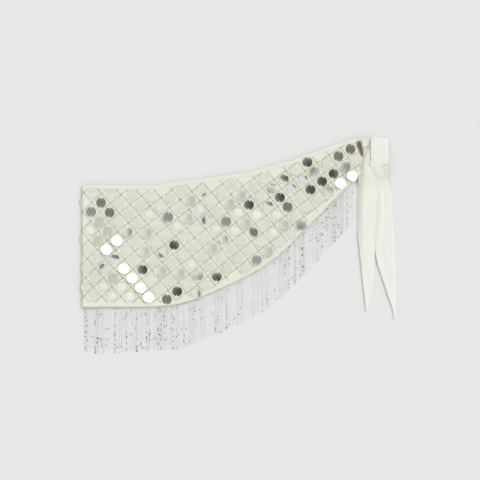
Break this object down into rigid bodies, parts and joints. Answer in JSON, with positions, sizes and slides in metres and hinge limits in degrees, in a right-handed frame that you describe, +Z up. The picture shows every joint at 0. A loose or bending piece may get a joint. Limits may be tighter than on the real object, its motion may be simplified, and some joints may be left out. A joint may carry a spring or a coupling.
{
  "type": "sequin hip scarf",
  "caption": "Crescent hip scarf in ivory cloth with mirror paillettes in a diamond lattice and a beaded fringe, folded flat and tied at one end.",
  "frame": {"origin": "on the surface that the scarf lies on, at the middle of the rectangle that it covers", "axes": "+X from the centre fold towards the knot, +Y from the fringe towards the top edge, +Z up out of the surface"},
  "size_m": [0.4751, 0.3289, 0.012],
  "materials": {
    "shell_cloth": "ivory woven cloth, matt, with a slight sheen",
    "tie_cloth": "ivory light cloth, soft and matt",
    "fringe_bead": "clear and silver-lined glass beads, glossy",
    "paillette": "silver mirror film, polished",
    "lattice_line": "fine silver bead line",
    "thread": "ivory sewing thread"
  },
  "bodies": {
    "root": {"shell": "shell_cloth", "fringe_front": "fringe_bead", "fringe_back": "fringe_bead", "knot_band": "tie_cloth", "knot_core": "tie_cloth", "tie_tail_left": "tie_cloth", "tie_tail_right": "tie_cloth"}
  },
  "joints": []
}
